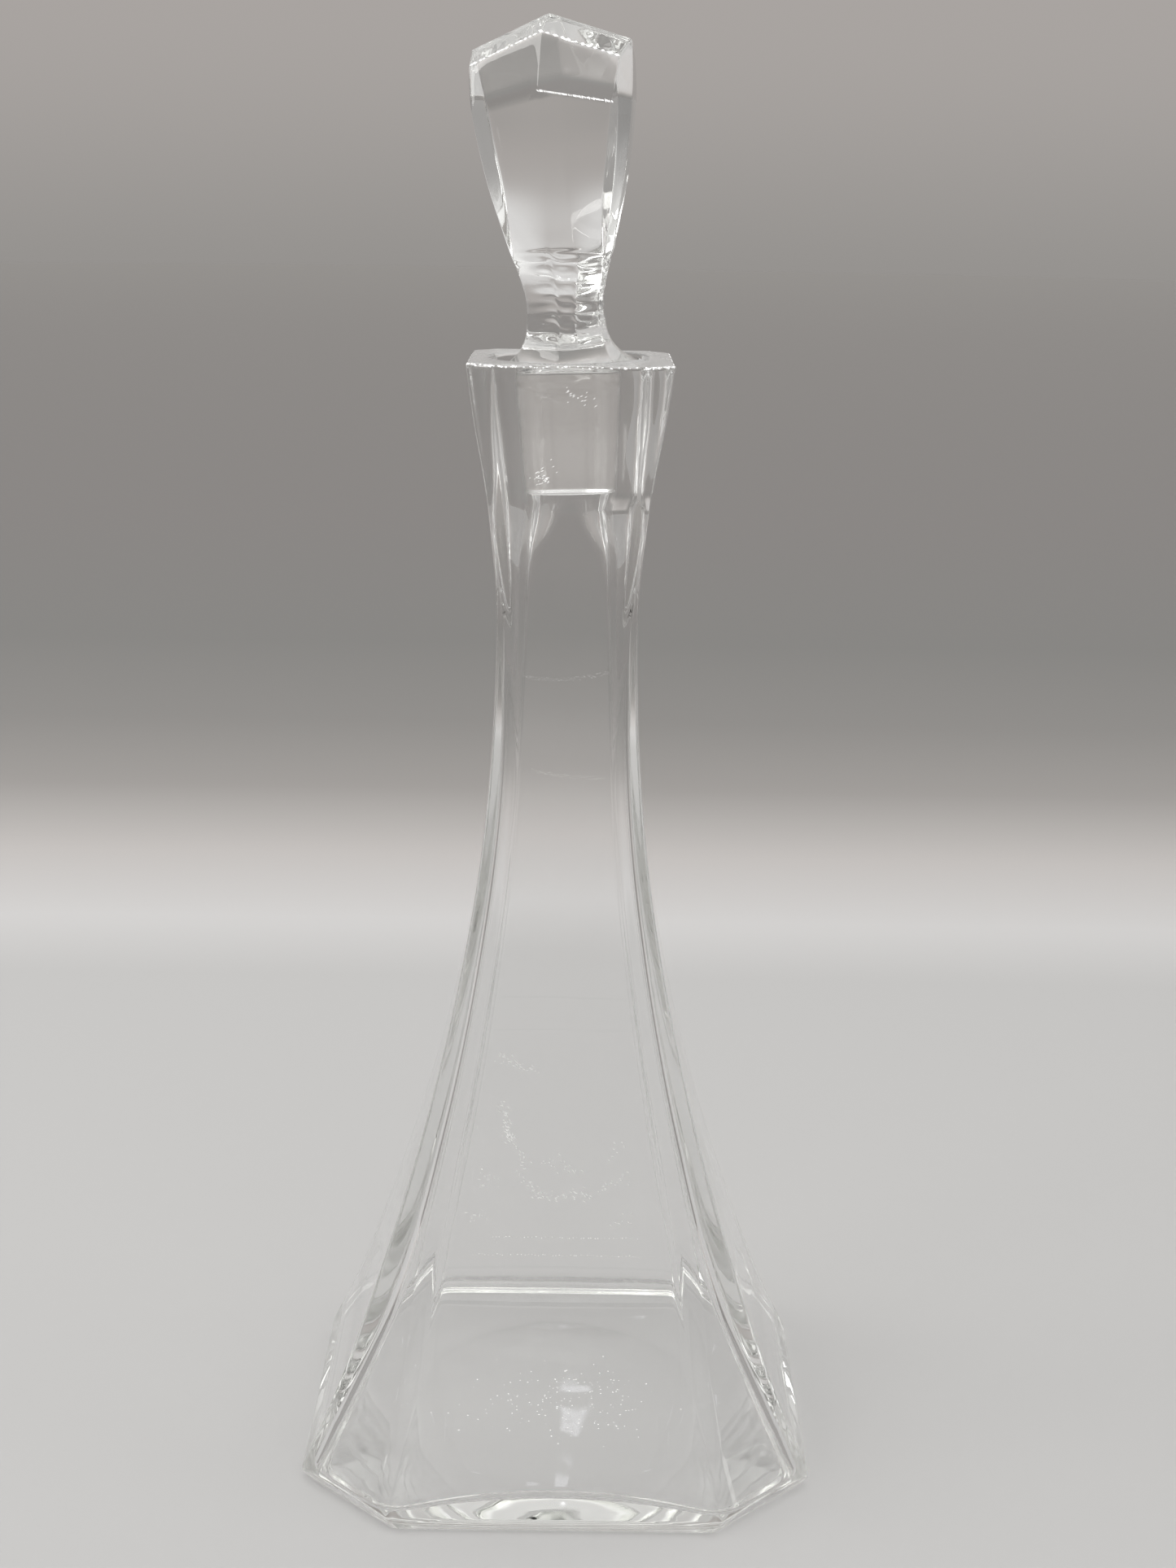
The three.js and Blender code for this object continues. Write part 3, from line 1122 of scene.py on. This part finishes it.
@dataclass
class Flecks:
    """Gathers many tiny closed flecks into one mesh."""

    seed: int
    points: list[Vector] = field(default_factory=list)
    faces: list[tuple[int, int, int]] = field(default_factory=list)

    def __post_init__(self) -> None:
        """Seeds this gatherer's own random numbers."""
        self.random = random.Random(self.seed)

    def add(self, place: Vector, along: Vector, off: Vector, length: float, width: float) -> None:
        """Adds one fleck, an eight-sided grain that lies on a wall.

        Args:
            place: Its middle.
            along: Direction of its length.
            off: Direction away from the wall.
            length: Its length.
            width: Its width. It stands a quarter of that off the wall.
        """
        across = along.cross(off).normalized()
        base = len(self.points)
        self.points += [
            place + along * length / 2, place + across * width / 2,
            place - along * length / 2, place - across * width / 2,
            place + off * width / 4, place - off * width / 8,
        ]
        for k in range(4):
            after = (k + 1) % 4
            self.faces.append((base + k, base + 4, base + after))
            self.faces.append((base + after, base + 5, base + k))

    def build(self, name: str) -> bpy.types.Object:
        """Makes the mesh.

        Args:
            name: The object's name.

        Returns:
            The object.
        """
        mesh = bpy.data.meshes.new(name)
        mesh.from_pydata([tuple(p) for p in self.points], [], self.faces)
        mesh.update()
        made = bpy.data.objects.new(name, mesh)
        bpy.context.scene.collection.objects.link(made)
        return made


@dataclass(frozen=True)
class TideLine:
    """A level line of small beads across the cavity's front wall."""

    height: float
    left: float
    right: float
    rise: float = 0.0
    sag: float = 0.0
    scatter: float = 0.15 * MM
    bead: float = 0.22 * MM
    pitch: float = 0.75 * MM

    def height_at(self, share: float) -> float:
        """Height of the line at a share of its length."""
        return self.height + self.rise * (share - 0.5) - self.sag * 4 * share * (1 - share)


@dataclass
class DriedMarks:
    """Streaks and tide lines on the cavity's front wall, and dust on its floor.

    Each streak goes from one place to another, each with x and height in millimetres, with a number
    of strokes.
    """

    bottle: Bottle
    # The film's emission is painted brightness on the real residue.
    film: DriedFilmAndGlint = DriedFilmAndGlint()
    clear_of_wall: float = 0.08 * MM
    bead: float = 0.22 * MM
    dust: int = 190
    dust_bead: float = 0.42 * MM
    # Two above the floor, and two faint ones in the neck
    tide_lines: tuple[TideLine, ...] = (
        TideLine(55.6 * MM, -14 * MM, 17.5 * MM),
        TideLine(52 * MM, -18.4 * MM, 18.1 * MM),
        TideLine(174.8 * MM, -9 * MM, 9 * MM, 1.2 * MM, 1 * MM, 0.4 * MM, 0.1 * MM, 0.16 * MM),
        TideLine(153.6 * MM, -7 * MM, 8.4 * MM, -1.4 * MM, 0.5 * MM, 0.4 * MM, 0.1 * MM, 0.18 * MM),
    )
    streaks: tuple[tuple[Pair, Pair, int], ...] = (
        ((-13.9, 93.2), (-5.2, 90.2), 30), ((-12.8, 84.0), (-10.6, 76.0), 46),
        ((-10.6, 77.0), (-7.2, 70.5), 26), ((-9.0, 69.0), (-4.0, 64.0), 18),
        ((-4.6, 71.5), (4.2, 69.5), 22), ((-5.5, 63.8), (5.0, 64.2), 34),
        ((4.6, 64.2), (15.0, 68.2), 22), ((-17.2, 67.4), (-12.0, 68.2), 14),
        ((-19.0, 59.5), (-15.0, 60.2), 8), ((12.0, 59.0), (17.0, 59.6), 8),
        ((13.4, 76.0), (10.0, 71.5), 8),
    )

    def on_front(self, x: float, z: float) -> tuple[Vector, Vector]:
        """A place on the cavity's front wall.

        Args:
            x: How far right of the middle.
            z: Its height.

        Returns:
            The place, clear of the wall, and the direction away from the wall.
        """
        ring = self.bottle.cavity_ring(z, self.clear_of_wall)
        front = ring[ring[:, 1] < -np.abs(ring[:, 0])]
        front = front[np.argsort(front[:, 0])]
        y = float(np.interp(x, front[:, 0], front[:, 1]))
        return Vector((x, y, z)), Vector((0, 1, -0.3)).normalized()

    def lines(self) -> Flecks:
        """Beads of the tide lines."""
        flecks = Flecks(seed=11)
        for line in self.tide_lines:
            count = round((line.right - line.left) / line.pitch)
            for k in range(count):
                share = (k + flecks.random.uniform(-0.3, 0.3)) / count
                x = line.left + (line.right - line.left) * share
                z = line.height_at(share) + flecks.random.uniform(-1, 1) * line.scatter
                place, off = self.on_front(x, z)
                size = line.bead * flecks.random.uniform(0.45, 1.1)
                flecks.add(place, Vector((1, 0, 0)), off, size * 1.3, size)
        return flecks

    def strokes(self) -> Flecks:
        """Short slanted strokes of the streaks."""
        flecks = Flecks(seed=23)
        for (x0, z0), (x1, z1), count in self.streaks:
            for _ in range(count):
                share = flecks.random.random()
                x = (x0 + (x1 - x0) * share + flecks.random.gauss(0, 0.55)) * MM
                z = (z0 + (z1 - z0) * share + flecks.random.gauss(0, 0.8)) * MM
                place, off = self.on_front(x, z)
                lean = flecks.random.gauss(-0.7, 0.35)
                along = Vector((math.cos(lean), 0, math.sin(lean)))
                length = flecks.random.uniform(0.25, 1.1) * MM
                flecks.add(place, along, off, length, self.bead * flecks.random.uniform(0.35, 0.8))
        return flecks

    def specks(self) -> Flecks:
        """Dust on the floor."""
        flecks = Flecks(seed=37)
        for _ in range(self.dust):
            x = flecks.random.gauss(2, 11) * MM
            y = flecks.random.gauss(-2, 10) * MM
            z = self.bottle.floor_at(x, y) + self.clear_of_wall
            turn = flecks.random.uniform(0, math.pi)
            along = Vector((math.cos(turn), math.sin(turn), 0))
            size = self.dust_bead * flecks.random.uniform(0.3, 1.0)
            flecks.add(Vector((x, y, z)), along, Vector((0, 0, 1)), size * 1.5, size)
        return flecks

    def build(self) -> list[bpy.types.Object]:
        """Builds the marks.

        Returns:
            The pieces, dressed.
        """
        material = self.film.material()
        parts = {"tide_lines": self.lines(), "dried_streaks": self.strokes(), "floor_dust": self.specks()}
        return [
            dress(flecks.build(name), material, Body.BOTTLE)
            for name, flecks in parts.items()
        ]


@dataclass
class NicksAndPaintedGlints:
    """Ground beads on the head's arrises, small chips round the rim and marks on the plug, in a white
    finish that glows: painted glints, and a painted highlight on the plug.
    """

    bottle: Bottle
    stopper: Stopper
    # White and emissive: painted glints on the nicks, though they are no lamp.
    finish: DriedFilmAndGlint = DriedFilmAndGlint("ground_nicks_painted_glints", pale=(1.0, 1.0, 1.0), dull=(0.9, 0.9, 0.9), painted_glow=0.6)
    bead: float = 0.62 * MM
    chip: float = 0.42 * MM
    chips: int = 320
    scratch: float = 0.14 * MM
    # Painted highlight patches on the plug: place across, depth below the rim, spread and number of marks
    plug_highlight_patches: tuple[tuple[float, float, float, int], ...] = (
        (-5.6 * MM, 22.6 * MM, 1.1 * MM, 34), (0.6 * MM, 6 * MM, 0.7 * MM, 9),
        (3.6 * MM, 7.4 * MM, 1 * MM, 9),
    )

    def beads(self) -> Flecks:
        """Beads along the break and the lower edge of the front roof, glowing white as painted glints on
        the arrises.
        """
        flecks = Flecks(seed=53)
        # Points, length in pitches, width in beads and slant
        lines = [
            (self.stopper.roof_break(-1.0, -0.1, 15), 1.25, 1.0, 0.0),
            (self.stopper.roof_break(0.0, 1.0, 12), 1.1, 1.15, 0.0),
            (self.stopper.roof_edge(0.0, 0.98, 34), 2.4, 0.62, 0.9),
        ]
        for points, long, wide, slant in lines:
            line = Vector(points[-1] - points[0]).normalized()
            pitch = np.linalg.norm(points[1] - points[0])
            for point in points:
                off = Vector((flecks.random.uniform(-0.1, 0.1), -0.9, 0.4)).normalized()
                tilt = slant * flecks.random.uniform(0.3, 1.2)
                along = (line * math.cos(tilt) + line.cross(off) * math.sin(tilt)).normalized()
                width = self.bead * wide * flecks.random.uniform(0.5, 1.0)
                length = pitch * long * flecks.random.uniform(0.5, 0.95)
                shift = line * pitch * flecks.random.uniform(-0.2, 0.2)
                flecks.add(Vector(point) + shift + off * width * 0.02, along, off, length, width)
        return flecks

    def rim_chip_glints(self) -> Flecks:
        """Small chips along the rim's outer edge, glowing white as painted glints."""
        flecks = Flecks(seed=61)
        bottle = self.bottle
        half = bottle.rim_width / 2 - bottle.rim_rounding * 0.4
        z = bottle.rim_height - bottle.rim_rounding * 0.35
        outer = bottle.facet_ring(half, half * bottle.corner_share(1), z)
        for _ in range(self.chips):
            k = flecks.random.randrange(len(outer))
            place = Vector(outer[k - 1]).lerp(Vector(outer[k]), flecks.random.random())
            place.z += flecks.random.uniform(-0.25, 0.15) * MM
            off = Vector((place.x, place.y, 0.6 * half)).normalized()
            along = Vector((-place.y, place.x, 0)).normalized()
            size = self.chip * flecks.random.uniform(0.3, 1.0)
            flecks.add(place, along, off, size * flecks.random.uniform(1, 3), size)
        return flecks

    def plug_marks_and_highlight(self) -> Flecks:
        """Slanted grinding marks in patches on the front of the plug, glowing white as a painted
        highlight.
        """
        flecks = Flecks(seed=71)
        seat = self.stopper.seat
        for middle, depth, spread, count in self.plug_highlight_patches:
            for _ in range(count):
                x = middle + flecks.random.gauss(0, spread)
                down = depth + flecks.random.gauss(0, spread)
                off = Vector((x, -math.sqrt(seat.plug_half(down) ** 2 - x * x), 0))
                place = Vector(seat.place(np.array([[*off.xy, -down]]))[0])
                level_way = off.cross(Vector((0, 0, -1))).normalized()
                along = (level_way + Vector((0, 0, flecks.random.uniform(0.3, 0.8)))).normalized()
                length = self.scratch * flecks.random.uniform(2, 8)
                flecks.add(place, along, off.normalized(), length, self.scratch)
        return flecks

    def build(self) -> list[bpy.types.Object]:
        """Builds the nicks, which shine white as painted glints.

        Returns:
            The pieces, dressed.
        """
        material = self.finish.material()
        return [
            dress(self.beads().build("arris_glint_beads"), material, Body.STOPPER),
            dress(self.plug_marks_and_highlight().build("plug_marks_and_highlight"), material, Body.STOPPER),
            dress(self.rim_chip_glints().build("rim_chip_glints"), material, Body.BOTTLE),
        ]


# The studio


@dataclass(frozen=True)
class Pane:
    """A bright patch of the surroundings, as ranges of direction."""

    x: Pair
    y: Pair
    z: Pair
    colour: Colour
    soft: float = 0.03

    def mask(self, x: Link, y: Link, z: Link) -> Link:
        """1 inside the patch and 0 outside, with soft borders.

        Args:
            x: The direction's first number.
            y: Its second number.
            z: Its third number.

        Returns:
            The product of the three ranges.
        """
        inside = 1.0
        for value, (low, high) in ((x, self.x), (y, self.y), (z, self.z)):
            inside = value.ramp(low - self.soft, low) * value.ramp(high + self.soft, high) * inside
        return inside


@dataclass
class Studio:
    """Pale floor with painted light and shade, soft surroundings, one softbox and the camera."""

    floor_radius: float = 6.0
    floor_gap: float = 0.1 * MM
    floor_corner_power: float = 8.0
    camera_distance: float = 500.1 * MM
    camera_height: float = 278.5 * MM
    camera_pitch: float = 0.2552
    camera_pan: float = 0.0098
    camera_roll: float = 0.0161
    camera_turn: float = 0.0042
    lens: float = 54.93
    light_turns: int = 32
    lamp_size: Pair = (0.7, 0.5)
    lamp_watts: float = 5.0
    lamp_colour: Colour = (1.0, 0.99, 0.97)
    lamp_place: Place = (-0.75, -0.35, 1.25)
    lamp_aim: Place = (0.0, 0.0, 0.12)
    # Painted light and shade, for a backdrop sweep lit from above: distance from the middle, colour
    floor_painted_light_stops: tuple[tuple[float, Colour], ...] = (
        (0.0, (0.503, 0.499, 0.499)), (0.30, (0.492, 0.487, 0.487)), (0.36, (0.57, 0.561, 0.563)),
        (0.45, (0.488, 0.466, 0.459)), (0.56, (0.313, 0.298, 0.29)), (0.69, (0.249, 0.24, 0.234)),
        (0.9, (0.217, 0.212, 0.207)), (1.4, (0.23, 0.218, 0.214)), (3.5, (0.253, 0.24, 0.234)),
        (6.0, (0.28, 0.267, 0.258)),
    )
    horizon: Colour = (0.287, 0.276, 0.264)
    upper: Colour = (0.395, 0.37, 0.354)
    high: Colour = (0.66, 0.65, 0.64)
    ceiling: Colour = (1.1, 1.1, 1.08)
    sides: Colour = (0.36, 0.35, 0.34)
    behind: Colour = (0.25, 0.245, 0.24)
    backdrop_rise: Pair = (-0.075, 0.06)
    side_reach: Pair = (0.35, 0.8)
    behind_reach: Pair = (-0.35, -0.75)
    high_rise: Pair = (0.05, 0.34)
    high_width: Pair = (0.85, 0.45)
    ceiling_rise: Pair = (0.35, 0.8)
    panes: tuple[Pane, ...] = (
        Pane((-0.95, -0.7), (-0.25, 0.25), (0.42, 0.62), (4.0, 4.0, 3.9)),
        Pane((0.7, 0.95), (-0.3, 0.1), (0.36, 0.52), (3.2, 3.2, 3.1)),
        Pane((-0.002, 0.008), (0.8, 1.0), (0.487, 0.5), (2.4, 2.4, 2.5), soft=0.003),
    )

    def floor(self) -> bpy.types.Object:
        """Builds the pale floor, whose colour carries painted light and shade: a painted bright band near
        0.36 m and painted shade beyond about 0.5 m.

        Returns:
            The floor.
        """
        ring = circle(self.floor_radius, -self.floor_gap, 96, 0.0)
        mesh = bpy.data.meshes.new("floor")
        mesh.from_pydata(ring.tolist(), [], [tuple(range(len(ring)))])
        made = bpy.data.objects.new("floor", mesh)
        bpy.context.scene.collection.objects.link(made)
        material = bpy.data.materials.new("floor_paper_painted_light")
        tree = Tree(material)
        x, y, _ = tree.split(tree.node("ShaderNodeTexCoord", output="Object"))
        power = self.floor_corner_power
        distance = (abs(x) ** power + abs(y) ** power) ** (1 / power)
        share = (distance / self.floor_radius) ** 0.5
        # Painted light and shade: the colour darkens with distance, as light falling off over a backdrop
        # sweep would.
        stops = [((place / self.floor_radius) ** 0.5, colour) for place, colour in self.floor_painted_light_stops]
        colour = tree.node("ShaderNodeValToRGB", {"stops": stops}, {"Fac": share})
        paper = tree.node(
            "ShaderNodeBsdfPrincipled",
            {},
            {"Base Color": colour, "Roughness": 0.85, "Specular IOR Level": 0.1},
        )
        tree.node("ShaderNodeOutputMaterial", {}, {"Surface": paper})
        mesh.materials.append(material)
        return made

    def surroundings(self) -> None:
        """Paints the world by direction: grey backdrop, lighter sides and a bright ceiling."""
        world = bpy.data.worlds.new("surroundings")
        bpy.context.scene.world = world
        tree = Tree(world)
        x, y, z = tree.split(tree.node("ShaderNodeTexCoord", output="Generated"))
        low = tree.mix(z.ramp(*self.backdrop_rise), self.horizon, self.upper)
        side = tree.mix(abs(x).ramp(*self.side_reach), low, self.sides)
        room = tree.mix(y.ramp(*self.behind_reach), side, self.behind)
        above = z.ramp(*self.high_rise) * abs(x).ramp(*self.high_width)
        wall = tree.mix(above, room, self.high)
        whole = tree.mix(z.ramp(*self.ceiling_rise), wall, self.ceiling)
        for pane in self.panes:
            whole = tree.mix(pane.mask(x, y, z), whole, pane.colour)
        light = tree.node("ShaderNodeBackground", {}, {"Color": whole, "Strength": 1.0})
        tree.node("ShaderNodeOutputWorld", {}, {"Surface": light})

    def softbox(self) -> None:
        """Adds one large soft lamp high on the left."""
        lamp = bpy.data.lights.new("softbox", "AREA")
        lamp.shape = "RECTANGLE"
        lamp.size, lamp.size_y = self.lamp_size
        lamp.energy = self.lamp_watts
        lamp.color = self.lamp_colour
        made = bpy.data.objects.new("softbox", lamp)
        bpy.context.scene.collection.objects.link(made)
        made.location = self.lamp_place
        aim = Vector(self.lamp_aim) - made.location
        made.rotation_mode = "QUATERNION"
        made.rotation_quaternion = aim.to_track_quat("-Z", "Y")

    def camera(self) -> None:
        """Adds the camera at the photograph's angle."""
        data = bpy.data.cameras.new("camera")
        data.sensor_fit = "AUTO"
        data.sensor_width = 36.0
        data.lens = self.lens
        data.clip_start, data.clip_end = 0.01, 30.0
        made = bpy.data.objects.new("camera", data)
        bpy.context.scene.collection.objects.link(made)
        cos, sin = math.cos, math.sin
        ahead = Vector((
            sin(self.camera_pan) * cos(self.camera_pitch),
            cos(self.camera_pan) * cos(self.camera_pitch),
            -sin(self.camera_pitch),
        ))
        right = Vector((cos(self.camera_pan), -sin(self.camera_pan), 0))
        above = right.cross(ahead)
        rolled_right = right * cos(self.camera_roll) + above * sin(self.camera_roll)
        rolled_above = above * cos(self.camera_roll) - right * sin(self.camera_roll)
        axes = Matrix((rolled_right, rolled_above, -ahead)).transposed().to_4x4()
        place = Matrix.Translation((0, -self.camera_distance, self.camera_height))
        made.matrix_world = Matrix.Rotation(self.camera_turn, 4, "Z") @ place @ axes
        bpy.context.scene.camera = made

    def build(self) -> None:
        """Builds the whole studio."""
        self.camera()
        self.floor()
        self.surroundings()
        self.softbox()
        bpy.context.scene.view_settings.view_transform = "Standard"
        paths = bpy.context.scene.cycles
        paths.max_bounces = paths.transmission_bounces = paths.glossy_bounces = self.light_turns


def main() -> None:
    """Builds every class in order."""
    logging.basicConfig(level=logging.INFO, format="%(name)s: %(message)s")
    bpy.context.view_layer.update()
    Studio().build()
    seat = Seat()
    bottle = Bottle(seat)
    bottle.build()
    stopper = Stopper(seat)
    stopper.build()
    DriedMarks(bottle).build()
    NicksAndPaintedGlints(bottle, stopper).build()


if __name__ == "__main__":
    main()
